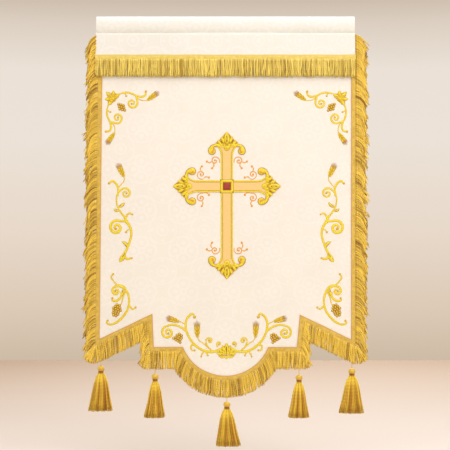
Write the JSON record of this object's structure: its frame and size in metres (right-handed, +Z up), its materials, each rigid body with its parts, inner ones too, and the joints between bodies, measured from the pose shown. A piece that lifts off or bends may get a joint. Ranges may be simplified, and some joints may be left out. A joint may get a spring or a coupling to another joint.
{
  "type": "church banner",
  "caption": "Hanging damask church banner with a rod sleeve at the top, gold fringe on its edges, a lobed foot with tassels, and an applied cross.",
  "frame": {"origin": "middle of the top edge of the sleeve, where the rod holds it", "axes": "+X across the banner to the viewer's right, +Y away from the viewer, +Z up; the front faces -Y"},
  "size_m": [0.7779, 0.0322, 1.1607],
  "materials": {
    "damask": "ivory tone on tone damask, faint silky lustre",
    "fringe": "gold rayon yarn, twisted, glossy",
    "tassel": "old gold rayon yarn, fine and glossy",
    "satin": "gold and peach satin stitch",
    "red": "dark red satin stitch"
  },
  "bodies": {
    "root": {"panel": "damask", "sleeve": "damask", "fringe_top": "fringe", "fringe_left": "fringe", "fringe_right": "fringe", "fringe_slope_left": "fringe", "fringe_slope_right": "fringe", "fringe_step_left": "fringe", "fringe_step_right": "fringe", "fringe_flat_left": "fringe", "fringe_flat_right": "fringe", "fringe_lobe": "fringe", "tassel_1": "tassel", "tassel_2": "tassel", "tassel_3": "tassel", "tassel_4": "tassel", "tassel_5": "tassel", "cross": "satin", "cross_square": "red"}
  },
  "joints": []
}
